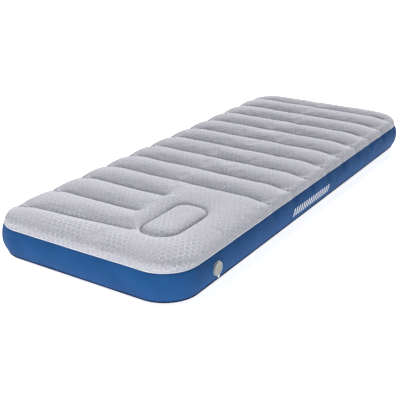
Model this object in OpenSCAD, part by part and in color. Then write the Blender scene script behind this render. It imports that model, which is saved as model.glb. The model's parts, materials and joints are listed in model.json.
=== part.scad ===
// Single air mattress with welded cross beams, a foot pump built into one corner
// and a screw valve in the side band. Millimetres, +Z up, +Y from the foot end to the head end,
// origin on the floor under the middle of the bed.

/* [Bed] */
// Length over the bulge of the side band
bed_l = 2100; // [2060:10:2160]
// Width over the bulge of the side band
bed_w = 850; // [800:10:1000]
// Height of the channel crowns above the floor
crown_h = 180; // [176:1:190]
// Plan radius of the four corners, along the upper seam
corner_r = 133; // [131:1:160]
// Thickness of the laminated sheets
sheet_t = 1.2; // [1:0.1:1.5]

/* [Side band] */
// Height of the upper seam, where the top sheet meets the side band
seam_top_z = 130; // [128:1:134]
// Height of the lower seam, where the bottom sheet meets the side band
seam_low_z = 20; // [18:1:22]
// How far the side band bulges out past the upper seam
band_bulge = 14; // [12:1:16]
// How far the lower seam lies inside the upper seam
seam_low_inset = 6; // [4:1:8]

/* [Cross beams] */
// Distance between neighbouring beams
beam_pitch = 161; // [158:1:164]
// Distance between the last three beams at the foot end
foot_pitch = 173; // [170:1:175]
// Distance from the head end to the first beam
head_margin = 143; // [140:1:150]
// Depth of the grooves that the beams pull into the top sheet
groove_depth = 24; // [18:1:26]
// Width of the flat weld at the bottom of a groove
weld_w = 8; // [6:1:10]
// Thickness of a beam's web
web_t = 1; // [0.8:0.1:1.4]
// Radius of the air holes in a web
air_hole_r = 20; // [15:1:25]

/* [Foot pump] */
// Width of the pump well, across the bed
well_w = 146; // [140:1:150]
// Length of the pump well, along the bed
well_l = 292; // [280:1:300]
// Corner radius of the pump well
well_r = 55; // [50:1:60]
// How far the middle of the pump lies from the valve side of the bed
pump_from_side = 235; // [230:1:240]
// How far the middle of the pump lies from the foot end
pump_from_foot = 329; // [325:1:335]
// Height of the pump pad above the floor
pad_h = 178; // [174:1:180]

/* [Valve] */
// How far the valve lies from the foot end
valve_from_foot = 243; // [240:1:246]
// Height of the valve's middle
valve_z = 78; // [76:1:80]
// Radius of the socket that takes a pump nozzle
nozzle_r = 10; // [9:0.5:10]
// Pitch of the plug's thread
thread_pitch = 6; // [6:0.5:7]

/* [Hidden] */
function beam_name(i) = str("cross_beam_", i < 9 ? "0" : "", i + 1);
BEAM_COUNT = 12;
BEAM_NODES = [for (i = [0:BEAM_COUNT - 1]) beam_name(i)];
$fn = 96;
eps = 0.01;
lap = 2;     // how far a plate runs under the swept ring it joins
over = 30;   // how far a cutting shape stands clear of what it cuts

// Plan size of the upper seam
seam_w = bed_w - 2 * band_bulge;
seam_l = bed_l - 2 * band_bulge;

// Section of the side band: one arc through both seams, bulging out by band_bulge
band_chord = norm([seam_low_inset, seam_top_z - seam_low_z]);
band_sagitta = band_bulge + seam_low_inset / 2;
band_r = (pow(band_chord / 2, 2) + pow(band_sagitta, 2)) / (2 * band_sagitta);
band_lean = atan2(seam_low_inset, seam_top_z - seam_low_z);
band_cn = -seam_low_inset / 2 - (band_r - band_sagitta) * cos(band_lean);
band_cz = (seam_top_z + seam_low_z) / 2 + (band_r - band_sagitta) * sin(band_lean);
band_a_top = atan2(seam_top_z - band_cz, -band_cn);
band_a_low = atan2(seam_low_z - band_cz, -seam_low_inset - band_cn);

// Section of the top sheet's edge: a tight arc at the seam, then a wide one that meets the flat
roll_w = 128;
roll_tight_r = 35;
roll_rise = crown_h - seam_top_z;
roll_wide_r = (pow(roll_w - roll_tight_r, 2) + pow(roll_rise, 2) - pow(roll_tight_r, 2))
    / (2 * (roll_rise - roll_tight_r));
roll_wide_cz = crown_h - roll_wide_r;
roll_join_a = atan2(seam_top_z - roll_wide_cz, roll_w - roll_tight_r);

// Section of the bottom sheet's edge: one arc from the lower seam down to the floor
foot_w = 46;
foot_r = (pow(foot_w, 2) + pow(seam_low_z, 2)) / (2 * seam_low_z);
floor_inset = seam_low_inset + foot_w;

// Points on an arc about [cn, cz]
function arc(cn, cz, r, a0, a1, steps) =
    [for (i = [0:steps]) let (a = a0 + (a1 - a0) * i / steps) [cn + r * cos(a), cz + r * sin(a)]];
function reversed(list) = [for (i = [len(list) - 1:-1:0]) list[i]];

// Outer section lines, each drawn a depth d inside the outer surface
function band_line(d) = arc(band_cn, band_cz, band_r - d, band_a_top, band_a_low, 12);
function roll_line(d) = concat(
    arc(-roll_tight_r, seam_top_z, roll_tight_r - d, 0, roll_join_a, 8),
    [for (p = arc(-roll_w, roll_wide_cz, roll_wide_r - d, roll_join_a, 90, 6))
        if (p[0] < -roll_tight_r + 1) p]);
function foot_line(d) =
    arc(-floor_inset, foot_r, foot_r - d, -asin((foot_r - seam_low_z) / (foot_r - d)), -90, 6);

// A filled rounded rectangle
module rounded_rect(w, l, r) {
    square([w - 2 * r, l], center = true);
    square([w, l - 2 * r], center = true);
    for (sx = [-1, 1], sy = [-1, 1])
        translate([sx * (w / 2 - r), sy * (l / 2 - r)]) circle(r);
}

// Sweeps its 2D child round a rounded rectangle. The child's x is the way out from the path,
// and its y is height.
module ring_sweep(w, l, r) {
    for (i = [0:3]) {
        sx = i == 0 || i == 3 ? 1 : -1;
        sy = i < 2 ? 1 : -1;
        translate([sx * (w / 2 - r), sy * (l / 2 - r), 0])
            rotate([0, 0, i * 90]) rotate_extrude(angle = 90) translate([r, 0]) children();
    }
    for (s = [0, 180]) rotate([0, 0, s]) {
        translate([w / 2, l / 2 - r, 0]) rotate([90, 0, 0]) linear_extrude(l - 2 * r) children();
        translate([-w / 2 + r, l / 2, 0]) rotate([90, 0, 90]) linear_extrude(w - 2 * r) children();
    }
}

// ---------- cross beams ----------

head_y = bed_l / 2 - head_margin;
LAST_REGULAR = 9;
function beam_y(i) = head_y - min(i, LAST_REGULAR) * beam_pitch - max(0, i - LAST_REGULAR) * foot_pitch;
function head_half(i) = i == 0 ? beam_pitch / 2 : (beam_y(i - 1) - beam_y(i)) / 2;
function foot_half(i) = i == BEAM_COUNT - 1 ? foot_pitch / 2 : (beam_y(i) - beam_y(i + 1)) / 2;

pump_x = bed_w / 2 - pump_from_side;
pump_y = -bed_l / 2 + pump_from_foot;
groove_z = crown_h - groove_depth;
groove_x = seam_w / 2 + over;
beam_top_gap = 36;     // from the upper seam to the end of a beam's top weld
beam_floor_gap = 14;   // from the flat of the bottom sheet's edge to the end of its floor weld
beam_half = seam_w / 2 - beam_top_gap;
beam_floor_half = seam_w / 2 - floor_inset - beam_floor_gap;
short_beam_end = 45;
pump_beam_gap = 22;
pump_beam_end = pump_x - well_w / 2 - pump_beam_gap;
short_groove_lap = 5;
weld_t = 1;
web_edge_h = 45;
air_hole_pitch = 140;
air_hole_from_end = 60;
air_hole_z = 0.45 * crown_h;
function is_short(i) = i > 8;
function beam_end(i) = !is_short(i) ? beam_half : i == BEAM_COUNT - 1 ? pump_beam_end : short_beam_end;
function groove_end(i) = is_short(i) ? beam_end(i) + short_groove_lap : groove_x;

// One flank of a groove, from the weld's edge up to the crown, half the channel away
function flank(half) =
    let (run = half - weld_w / 2, r = (run * run + groove_depth * groove_depth) / (2 * groove_depth))
    [for (i = [0:8]) let (x = run * i / 8) [weld_w / 2 + x, crown_h - r + sqrt(r * r - pow(run - x, 2))]];
function mirrored(list) = [for (p = list) [-p[0], p[1]]];
function above(list, z) = concat(list, [[list[len(list) - 1][0], z], [list[0][0], z]]);

// What the grooves take away from the flat top, drawn a depth d inside the outer surface
module grooves(d) {
    for (i = [0:BEAM_COUNT - 1])
        translate([-groove_x, beam_y(i), -d]) rotate([90, 0, 90])
            linear_extrude(groove_x + groove_end(i) + d)
                polygon(above(concat(reversed(mirrored(flank(foot_half(i)))), flank(head_half(i))),
                              crown_h + over));
    pump_flank = flank(beam_pitch / 2);
    translate([pump_x, pump_y, -d]) ring_sweep(well_w, well_l, well_r)
        polygon(above(concat([[-1, groove_z]], pump_flank), crown_h + over));
}

// One beam: a web with air holes and a weld strip along its top and its bottom
module cross_beam(i) {
    x1 = beam_end(i);
    floor_x1 = min(x1, beam_floor_half);
    top_z = groove_z - sheet_t;
    color("lightsteelblue") translate([0, beam_y(i), 0]) difference() {
        union() {
            rotate([90, 0, 0]) linear_extrude(web_t, center = true)
                polygon([[-beam_floor_half, sheet_t], [floor_x1, sheet_t],
                         [x1, top_z - web_edge_h], [x1, top_z],
                         [-beam_half, top_z], [-beam_half, top_z - web_edge_h]]);
            translate([-beam_half, -weld_w / 2, top_z - weld_t])
                cube([x1 + beam_half, weld_w, weld_t]);
            translate([-beam_floor_half, -weld_w, sheet_t])
                cube([floor_x1 + beam_floor_half, 2 * weld_w, weld_t]);
        }
        for (x = [-beam_floor_half + air_hole_from_end:air_hole_pitch:floor_x1 - 2 * air_hole_r])
            translate([x, 0, air_hole_z]) rotate([90, 0, 0])
                cylinder(h = 4 * web_t, r = air_hole_r, center = true);
    }
}

// ---------- envelope ----------

// The solid space under the top sheet's surface, drawn a depth d inside it
module top_volume(d, low) {
    line = roll_line(d);
    difference() {
        union() {
            ring_sweep(seam_w, seam_l, corner_r)
                polygon(concat([[line[0][0], low]], line,
                               [[-roll_w - lap, crown_h - d], [-roll_w - lap, low]]));
            translate([0, 0, low]) linear_extrude(crown_h - d - low)
                rounded_rect(seam_w - 2 * roll_w, seam_l - 2 * roll_w, corner_r - roll_w);
        }
        grooves(d);
    }
}

module top_sheet() {
    color("gainsboro") difference() {
        top_volume(0, seam_top_z);
        top_volume(sheet_t, seam_top_z - 1);
        translate([pump_x, pump_y, seam_top_z]) linear_extrude(crown_h)
            rounded_rect(well_w, well_l, well_r);
    }
}

// The valve lies in a shallow round recess. Its frame has +Z pointing out of the bed and -X pointing up.
valve_y = -bed_l / 2 + valve_from_foot;
recess_r = 28.5;
recess_depth = 4.4;
valve_x = bed_w / 2 - recess_depth;
neck_r = 22;
neck_gap = 0.1;
module at_valve() translate([valve_x, valve_y, valve_z]) rotate([0, 90, 0]) children();

// A solid of revolution about the valve's axis between two radii and two depths
module tube(r_in, r_out, z0, z1) {
    difference() {
        translate([0, 0, z0]) cylinder(h = z1 - z0, r = r_out);
        translate([0, 0, z0 - 1]) cylinder(h = z1 - z0 + 2, r = r_in);
    }
}

module side_band() {
    color("steelblue") difference() {
        union() {
            difference() {
                ring_sweep(seam_w, seam_l, corner_r)
                    polygon(concat(band_line(0), reversed(band_line(sheet_t))));
                at_valve() cylinder(h = 2 * over, r = recess_r, center = true);
            }
            difference() {
                intersection() {
                    at_valve() translate([0, 0, -sheet_t]) cylinder(h = over, r = recess_r);
                    translate([seam_w / 2, valve_y + 2 * recess_r, 0]) rotate([90, 0, 0])
                        linear_extrude(4 * recess_r)
                            polygon(concat(band_line(0), [[-over, seam_low_z], [-over, seam_top_z]]));
                }
                at_valve() cylinder(h = over, r = recess_r - sheet_t);
            }
        }
        at_valve() cylinder(h = over, r = neck_r + neck_gap, center = true);
    }
}

module bottom_sheet() {
    outer = foot_line(0);
    inner = foot_line(sheet_t);
    flat_w = seam_w - 2 * floor_inset;
    flat_l = seam_l - 2 * floor_inset;
    color("midnightblue") union() {
        ring_sweep(seam_w, seam_l, corner_r)
            polygon(concat(outer, [[-floor_inset - lap, 0], [-floor_inset - lap, sheet_t]],
                           reversed(inner)));
        linear_extrude(sheet_t) rounded_rect(flat_w, flat_l, corner_r - floor_inset);
    }
}

// The welded edge that stands a little proud along the upper seam
module upper_seam() {
    section = [[0.1, 0.05], [0.06, 1.4], [1.7, 1.2], [2.4, 0.2], [2.2, -0.8]];
    color("white") translate([0, 0, seam_top_z]) ring_sweep(seam_w, seam_l, corner_r) polygon(section);
}

// The same along the lower seam
module lower_seam() {
    section = [[0.15, -0.05], [1.3, 1.1], [3, -0.6], [2.4, -1.9], [-0.6, -1]];
    color("midnightblue") translate([0, 0, seam_low_z]) ring_sweep(seam_w, seam_l, corner_r)
        translate([-seam_low_inset, 0]) polygon(section);
}

// ---------- foot pump ----------

wall_gap = 0.8;    // between the well's edge and the chamber's wall
skirt_gap = 2;     // between the well's edge and the pad's skirt
skirt_low_z = 125;
gusset_gap = 0.7;  // between the skirt and the gusset
gusset_t = 0.8;
flange_out = 12;
chamber_w = well_w + 2 * wall_gap;
chamber_l = well_l + 2 * wall_gap;
pad_w = well_w - 2 * skirt_gap;
pad_l = well_l - 2 * skirt_gap;
pad_r = well_r - skirt_gap;
pad_roll = 40;
foam_gap = 10;
foam_shoulder_z = 158;
delivery_y = pump_y + 20;
delivery_z = 60;
delivery_r = 9;
seat_t = 2.4;
flap_gap = 0.2;
flap_t = 0.9;
flap_lap = 2.5;
delivery_x = pump_x - chamber_w / 2 - sheet_t;
duct_bore_r = 15;
duct_in_r = 16.6;
duct_t = 1.2;
duct_end_z = -29;
collar_w = 8;
collar_t = 2;

module at_pump() translate([pump_x, pump_y, 0]) children();

// The tube that closes the pump off from the bed, welded to the bottom sheet by a flange
module pump_chamber_wall() {
    color("lightsteelblue") difference() {
        at_pump() ring_sweep(chamber_w, chamber_l, well_r + wall_gap)
            polygon([[0, sheet_t], [flange_out, sheet_t], [flange_out, 2 * sheet_t], [sheet_t, 2 * sheet_t],
                     [sheet_t, groove_z - sheet_t], [0, groove_z - sheet_t]]);
        translate([delivery_x, delivery_y, delivery_z]) rotate([0, 90, 0])
            cylinder(h = over, r = delivery_r, center = true);
        at_valve() translate([0, 0, pump_x - valve_x]) cylinder(h = chamber_w, r = duct_bore_r);
    }
}

// The folded strip that joins the pad to the top sheet and lets it travel
module pump_gusset() {
    color("silver") at_pump() ring_sweep(pad_w, pad_l, pad_r)
        translate([gusset_gap, skirt_low_z]) square([gusset_t, groove_z - sheet_t / 2 - skirt_low_z]);
}

// Open-cell foam that lifts the pad again after each step
module pump_foam() {
    color("khaki") at_pump() union() {
        translate([0, 0, sheet_t]) linear_extrude(foam_shoulder_z - sheet_t)
            rounded_rect(pad_w - 2 * foam_gap, pad_l - 2 * foam_gap, pad_r - foam_gap);
        translate([0, 0, foam_shoulder_z - 1]) linear_extrude(pad_h - sheet_t - foam_shoulder_z + 0.9)
            rounded_rect(pad_w - 2 * pad_roll, pad_l - 2 * pad_roll, pad_r - pad_roll);
    }
}

// The pad that the foot presses: a crowned cover with a skirt that runs in the well
module pump_pad() {
    rise = pad_h - groove_z + 2;
    r = (pad_roll * pad_roll + rise * rise) / (2 * rise);
    outer = arc(-pad_roll, pad_h - r, r, asin((r - rise) / r), 90, 8);
    inner = [for (p = outer) [p[0] - sheet_t * (p[0] + pad_roll) / pad_roll, p[1] - sheet_t]];
    color("gainsboro") at_pump() union() {
        ring_sweep(pad_w, pad_l, pad_r)
            polygon(concat([[0, skirt_low_z]], outer,
                           [[-pad_roll - lap, pad_h], [-pad_roll - lap, pad_h - sheet_t]],
                           reversed(inner), [[-sheet_t, skirt_low_z]]));
        translate([0, 0, pad_h - sheet_t]) linear_extrude(sheet_t)
            rounded_rect(pad_w - 2 * pad_roll, pad_l - 2 * pad_roll, pad_r - pad_roll);
    }
}

// Ring on the chamber's wall that the delivery flap closes
module delivery_valve_seat() {
    color("whitesmoke") translate([delivery_x, delivery_y, delivery_z]) rotate([0, -90, 0])
        tube(delivery_r, 2 * delivery_r, 0, seat_t);
}

module delivery_flap() {
    color("ghostwhite") translate([delivery_x, delivery_y, delivery_z]) rotate([0, -90, 0])
        translate([0, 0, seat_t + flap_gap]) cylinder(h = flap_t, r = delivery_r + flap_lap);
}

// A plan of the chamber's outer face, grown by g
module chamber_plan(g) {
    at_pump() translate([0, 0, sheet_t]) linear_extrude(crown_h)
        rounded_rect(chamber_w + 2 * (sheet_t + g), chamber_l + 2 * (sheet_t + g),
                     well_r + wall_gap + sheet_t + g);
}

// Hose from the valve to the pump chamber, cut to the chamber's curved face
module intake_duct() {
    color("lightsteelblue") difference() {
        at_valve() tube(duct_in_r, duct_in_r + duct_t, pump_x - valve_x, duct_end_z);
        chamber_plan(0);
    }
}

// Collar that welds the hose to the chamber's face
module duct_collar() {
    color("whitesmoke") difference() {
        at_valve() tube(duct_in_r + duct_t, duct_in_r + duct_t + collar_w, pump_x - valve_x, 0);
        chamber_plan(0);
        difference() {
            at_pump() linear_extrude(crown_h) square([4 * well_w, 2 * well_l], center = true);
            chamber_plan(collar_t);
        }
    }
}

// ---------- valve ----------

body_bore_r = 20.05;
flange_r = 26;
flange_t = 2.5;
body_low = -26;
shoulder_low = -28;
spigot_low = -40;
spigot_t = 1.5;
vent_w = 10;
vent_h = 8;
vent_low = -24;
backing_t = 2;
head_z = 4.1;
head_top = 7;
head_r = 22.3;
plug_bore_r = 13.5;
plug_root_r = 17;
thread_amp = 0.7;
thread_gap = 0.5;
thread_low = -13;
thread_high = -1;
thread_rings = 16;
thread_back_r = 19.95;
turn_steps = 36;
plug_low = -25.9;
plug_end = 0.4;       // from the thread's end to the plain sleeve
head_bevel = 0.6;
seat_low = -6;
intake_flap_r = 12;
cap_r = 25;
cap_rim_r = 23.1;
cap_low = 4.6;
cap_under = 7.6;
cap_top = 9.4;
hinge_up = 28.5;      // from the valve's axis up to the cap's hinge line
hinge_gap = 0.3;
strap_w = 8;
strap_t = 1.2;
tab_w = 10;
tab_l = 3.5;
notch_w = 18;

// Flange, neck with four vent windows, and the spigot that takes the duct
module valve_body() {
    color("silver") at_valve() difference() {
        union() {
            tube(body_bore_r, flange_r, 0, flange_t);
            tube(body_bore_r, neck_r, body_low, 0);
            tube(duct_bore_r, neck_r, shoulder_low, body_low);
            tube(duct_bore_r, duct_bore_r + spigot_t, spigot_low, shoulder_low);
        }
        for (a = [0, 90]) rotate([0, 0, a])
            translate([-over, -vent_w / 2, vent_low]) cube([2 * over, vent_w, vent_h]);
    }
}

// Ring welded behind the side band, round the neck
module valve_backing_ring() {
    color("silver") at_valve() tube(neck_r + neck_gap, recess_r - 0.5, -sheet_t - backing_t, -sheet_t);
}

// Radius of a right-hand rounded thread whose root has radius r
function thread_r(r, a, z) = r + thread_amp * (1 + cos(360 * z / thread_pitch - a));
thread_zs = [for (i = [0:thread_rings]) thread_low + (thread_high - thread_low) * i / thread_rings];
function level(r, z) =
    [for (i = [0:turn_steps - 1]) let (a = 360 * i / turn_steps) [r * cos(a), r * sin(a), z]];
function thread_level(r, z) =
    [for (i = [0:turn_steps - 1])
        let (a = 360 * i / turn_steps, q = thread_r(r, a, z)) [q * cos(a), q * sin(a), z]];

// A closed tube through the given rings, the last of which joins the first
module ring_loop(rings) {
    m = len(rings);
    function at(i, j) = (i % m) * turn_steps + j % turn_steps;
    polyhedron(
        points = [for (ring = rings) each ring],
        faces = [for (i = [0:m - 1], j = [0:turn_steps - 1])
            each [[at(i, j), at(i + 1, j), at(i + 1, j + 1)], [at(i, j), at(i + 1, j + 1), at(i, j + 1)]]]);
}

module valve_thread_ring() {
    r = plug_root_r + thread_gap;
    color("darkgray") at_valve() ring_loop(concat(
        [level(thread_back_r, thread_low)],
        [for (z = thread_zs) thread_level(r, z)],
        [level(thread_back_r, thread_high)]));
}

// The plug that closes the wide mouth: a threaded sleeve with a flat head
module valve_plug() {
    color("whitesmoke") at_valve() ring_loop(concat(
        [level(plug_bore_r, head_top), level(head_r - head_bevel, head_top)],
        [level(head_r, head_top - head_bevel), level(head_r, head_z)],
        [level(plug_root_r, head_z), level(plug_root_r, thread_high + plug_end)],
        [for (z = reversed(thread_zs)) thread_level(plug_root_r, z)],
        [level(plug_root_r, thread_low - plug_end), level(plug_root_r, plug_low + 1)],
        [level(plug_root_r - 1, plug_low), level(plug_bore_r, plug_low)]));
}

module plug_o_ring() {
    minor = (head_z - flange_t) / 2;
    color("dimgray") at_valve() translate([0, 0, flange_t + minor])
        rotate_extrude() translate([head_r - 1, 0]) circle(minor, $fn = 24);
}

// Soft ring in the plug that grips a pump nozzle
module nozzle_seat() {
    color("silver") at_valve() tube(nozzle_r, plug_bore_r - 0.15, seat_low, head_top);
}

module intake_flap() {
    color("ghostwhite") at_valve() translate([0, 0, seat_low - flap_t - 0.1])
        cylinder(h = flap_t, r = intake_flap_r);
}

module valve_cap() {
    color("lightgray") at_valve() difference() {
        union() {
            translate([0, 0, cap_under]) cylinder(h = cap_top - cap_under, r = cap_r);
            tube(cap_rim_r, cap_r, cap_low, cap_under + eps);
            translate([-hinge_up + hinge_gap, -strap_w / 2, cap_under + 0.2])
                cube([hinge_up - cap_r + lap, strap_w, strap_t]);
            translate([cap_r - lap, -tab_w / 2, cap_under + 0.2]) cube([tab_l + lap, tab_w, strap_t]);
            translate([cap_r + tab_l, 0, cap_under + 0.2]) cylinder(h = strap_t, r = tab_w / 2);
        }
        translate([-cap_r - 1, -notch_w / 2, cap_low - 1]) cube([6, notch_w, cap_under - cap_low + 1]);
    }
}

// Soft tongue from the plug's head up to the cap's hinge line
module cap_strap() {
    color("lightgray") at_valve() difference() {
        translate([-hinge_up + hinge_gap, -strap_w / 2, head_top - strap_t - 0.4])
            cube([hinge_up - head_r + lap, strap_w, strap_t]);
        cylinder(h = over, r = head_r + 0.02);
    }
}

for (i = [0:BEAM_COUNT - 1]) cross_beam(i);
top_sheet();
side_band();
bottom_sheet();
upper_seam();
lower_seam();
pump_chamber_wall();
pump_gusset();
pump_foam();
pump_pad();
delivery_valve_seat();
delivery_flap();
intake_duct();
duct_collar();
valve_body();
valve_backing_ring();
valve_thread_ring();
valve_plug();
plug_o_ring();
nozzle_seat();
intake_flap();
valve_cap();
cap_strap();
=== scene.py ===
"""A single air mattress with welded cross channels, a foot pump pad and a side valve.

Metres, in the CAD frame: +Z up, +Y from the foot end to the head end, +X to the valve side.
"""
import json
import math

import bpy
import numpy as np
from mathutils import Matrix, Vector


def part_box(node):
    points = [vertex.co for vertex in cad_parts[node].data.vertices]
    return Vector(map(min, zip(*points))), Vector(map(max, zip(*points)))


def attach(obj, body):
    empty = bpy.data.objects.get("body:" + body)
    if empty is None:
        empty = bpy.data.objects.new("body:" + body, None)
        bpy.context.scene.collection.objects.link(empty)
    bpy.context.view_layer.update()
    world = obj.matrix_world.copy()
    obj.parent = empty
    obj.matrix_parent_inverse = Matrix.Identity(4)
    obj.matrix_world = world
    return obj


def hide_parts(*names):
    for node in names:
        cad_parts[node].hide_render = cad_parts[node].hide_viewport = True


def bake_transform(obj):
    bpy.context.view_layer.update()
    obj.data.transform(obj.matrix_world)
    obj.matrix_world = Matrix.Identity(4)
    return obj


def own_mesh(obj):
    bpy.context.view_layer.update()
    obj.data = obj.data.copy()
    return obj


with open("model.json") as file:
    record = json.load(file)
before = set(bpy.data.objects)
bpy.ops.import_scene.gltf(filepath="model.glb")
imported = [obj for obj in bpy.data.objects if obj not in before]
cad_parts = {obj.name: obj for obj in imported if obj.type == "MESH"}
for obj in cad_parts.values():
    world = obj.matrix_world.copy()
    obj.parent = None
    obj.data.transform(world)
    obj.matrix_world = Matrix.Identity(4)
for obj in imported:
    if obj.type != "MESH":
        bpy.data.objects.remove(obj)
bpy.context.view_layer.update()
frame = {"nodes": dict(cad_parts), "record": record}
MM = 0.001

# ---------- sizes, from the frame ----------


def span(node):
    """A node's lowest and highest corners as arrays."""
    low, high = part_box(node)
    return np.array(low, float), np.array(high, float)


TOP_LOW, TOP_HIGH = span("top_sheet")
SEAM_X, SEAM_Y, SEAM_Z, CROWN_Z = TOP_HIGH[0], TOP_HIGH[1], TOP_LOW[2], TOP_HIGH[2]
BASE_X, BASE_Y, LOW_SEAM_Z = span("bottom_sheet")[1]
BAND_X = span("side_band")[1][0]
CORNER_R = 133 * MM
LOW_CORNER_R = CORNER_R - (SEAM_X - BASE_X)

BEAMS = sorted(n for n in frame["nodes"] if n.startswith("cross_beam_"))
BEAM_Y = [float(sum(p[1] for p in span(n)) / 2) for n in BEAMS]
BEAM_END_X = [float(span(n)[1][0]) for n in BEAMS]
LAST = len(BEAMS) - 1
FULL_BEAMS = sum(end > SEAM_X / 2 for end in BEAM_END_X)  # the rest stop short of the pump

PAD_LOW, PAD_HIGH = span("pump_pad")
PAD_C = (PAD_LOW + PAD_HIGH) / 2
PAD_HX, PAD_HY = (PAD_HIGH - PAD_LOW)[:2] / 2
PAD_GAP = 2 * MM
WELL_HX, WELL_HY = PAD_HX + PAD_GAP, PAD_HY + PAD_GAP
WELL_R_NEAR, WELL_R_FAR = 68 * MM, 58 * MM  # the pump's corners are rounder at the foot end

SOCKET = next(m for m in frame["record"]["mounts"] if m["name"] == "nozzle_socket")
VALVE_Y, VALVE_Z = SOCKET["pos_m"][1:]
FLANGE_T = 2.5 * MM
VALVE_X = float(span("valve_body")[1][0]) - FLANGE_T
RECESS_R = 28.5 * MM

# ---------- small tools ----------


def smooth(low, high, v):
    """0 below low, 1 above high, and a smooth step between them."""
    t = np.clip((v - low) / (high - low), 0, 1)
    return t * t * (3 - 2 * t)


def bump(v, width):
    """1 at 0, falling away smoothly over about width to both sides."""
    return np.exp(-((v / width) ** 2))


def ripple(x, y, scale, seed):
    """Uneven waves about scale long, from -1 to 1, the same each run."""
    total = np.zeros(np.broadcast(x, y).shape)
    for i in range(6):
        angle = 2.4 * i + seed
        k = 2 * math.pi / (scale * (0.7 + 0.17 * i))
        total = total + np.sin(k * (x * math.cos(angle) + y * math.sin(angle)) + 1.7 * angle * angle)
    return total / 4


def spaced(keys, step):
    """Lines through all the keys, no further apart than step."""
    out = [keys[0]]
    for a, b in zip(keys, keys[1:]):
        n = max(1, math.ceil((b - a) / step - 1e-6))
        out.extend(a + (b - a) * (i + 1) / n for i in range(n))
    return np.array(out)


def make(name, points, faces, mat, smoothed=True):
    """A mesh object from points and faces, with one material."""
    mesh = bpy.data.meshes.new(name)
    mesh.from_pydata([tuple(p) for p in np.asarray(points, float)], [], [tuple(f) for f in faces])
    mesh.validate()
    mesh.polygons.foreach_set("use_smooth", [smoothed] * len(mesh.polygons))
    mesh.materials.append(mat)
    mesh.update()
    obj = bpy.data.objects.new(name, mesh)
    bpy.context.scene.collection.objects.link(obj)
    return obj


def set_flat(obj, flat):
    """Stores where each point lay on the flat cloth, for the weave and the print.

    A third column is how strongly the point is welded, from 0 to a millimetre; the grey cloth paints shade
    along it."""
    data = np.zeros((len(flat), 3))
    data[:, : flat.shape[1]] = flat
    layer = obj.data.attributes.new("flat", "FLOAT_VECTOR", "POINT")
    layer.data.foreach_set("vector", data.ravel())


def grid_faces(rows, cols, keep=None, wrap=False):
    """Quads of a rows by cols grid of points, numbered row by row."""
    faces = []
    for i in range(rows - 1):
        for j in range(cols if wrap else cols - 1):
            if keep is None or keep[i, j]:
                k = (j + 1) % cols
                faces.append((i * cols + j, i * cols + k, (i + 1) * cols + k, (i + 1) * cols + j))
    return faces


def drop_loose(points, faces, flat):
    """Leaves out the points that no face uses, and their rows of flat."""
    used = sorted({i for f in faces for i in f})
    place = {old: new for new, old in enumerate(used)}
    kept = [tuple(place[i] for i in f) for f in faces]
    return points[used], kept, flat[used]


def on_rounded(x, y, hx, hy, radius):
    """Moves points from nested rectangles onto rounded ones.

    radius(e) is the corner's radius at a distance e outside."""
    e = np.maximum(np.abs(x) - hx, np.abs(y) - hy)
    r = np.maximum(radius(e), 1e-9)
    p, q = np.abs(x) - (hx + e - r), np.abs(y) - (hy + e - r)
    corner = (p > 0) & (q > 0)
    big, small = np.maximum(p, q), np.minimum(p, q)
    a = math.pi / 4 * np.where(corner, small / np.maximum(big, 1e-9), 0)
    along, across = r * np.cos(a), r * np.sin(a)
    new_p, new_q = np.where(p >= q, along, across), np.where(p >= q, across, along)
    nx = np.where(corner, np.sign(x) * (hx + e - r + new_p), x)
    ny = np.where(corner, np.sign(y) * (hy + e - r + new_q), y)
    return nx, ny


def inside(x, y, hx, hy, r):
    """Distance inside a rounded rectangle, negative outside it."""
    p, q = np.abs(x) - (hx - r), np.abs(y) - (hy - r)
    return r - np.hypot(np.maximum(p, 0), np.maximum(q, 0)) - np.minimum(np.maximum(p, q), 0)


def puff(obj, pinned, pressure, grow, cap, frames=16):
    """Blows a sheet up as cloth held at its welds, with grow of spare length, and keeps the result.

    No point moves further than cap from where it was drawn."""
    count = len(obj.data.vertices)
    before = np.zeros(count * 3)
    obj.data.vertices.foreach_get("co", before)
    group = obj.vertex_groups.new(name="held")
    group.add([int(i) for i in np.nonzero(pinned)[0]], 1.0, "REPLACE")
    cloth = obj.modifiers.new("Cloth", "CLOTH")
    settings = cloth.settings
    settings.quality = 4
    settings.mass = 0.25
    settings.tension_stiffness = settings.compression_stiffness = 12
    settings.shear_stiffness = 6
    settings.bending_stiffness = 3
    settings.tension_damping = settings.compression_damping = 8
    settings.air_damping = 4
    settings.use_pressure = True
    settings.uniform_pressure_force = pressure
    settings.shrink_min = -grow
    settings.vertex_group_mass = "held"
    settings.effector_weights.gravity = 0
    cloth.point_cache.frame_start, cloth.point_cache.frame_end = 1, frames
    for each in range(1, frames + 1):
        bpy.context.scene.frame_set(each)
    shown = obj.evaluated_get(bpy.context.evaluated_depsgraph_get())
    after = np.zeros(count * 3)
    shown.data.vertices.foreach_get("co", after)
    obj.modifiers.remove(cloth)
    obj.vertex_groups.remove(group)
    bpy.context.scene.frame_set(1)
    before, move = before.reshape(-1, 3), (after - before).reshape(-1, 3)
    size = np.maximum(np.linalg.norm(move, axis=1), 1e-12)
    move *= (cap * np.tanh(size / cap) / size)[:, None]
    obj.data.vertices.foreach_set("co", (before + move).ravel())
    obj.data.update()


# ---------- shape of the top ----------

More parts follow.
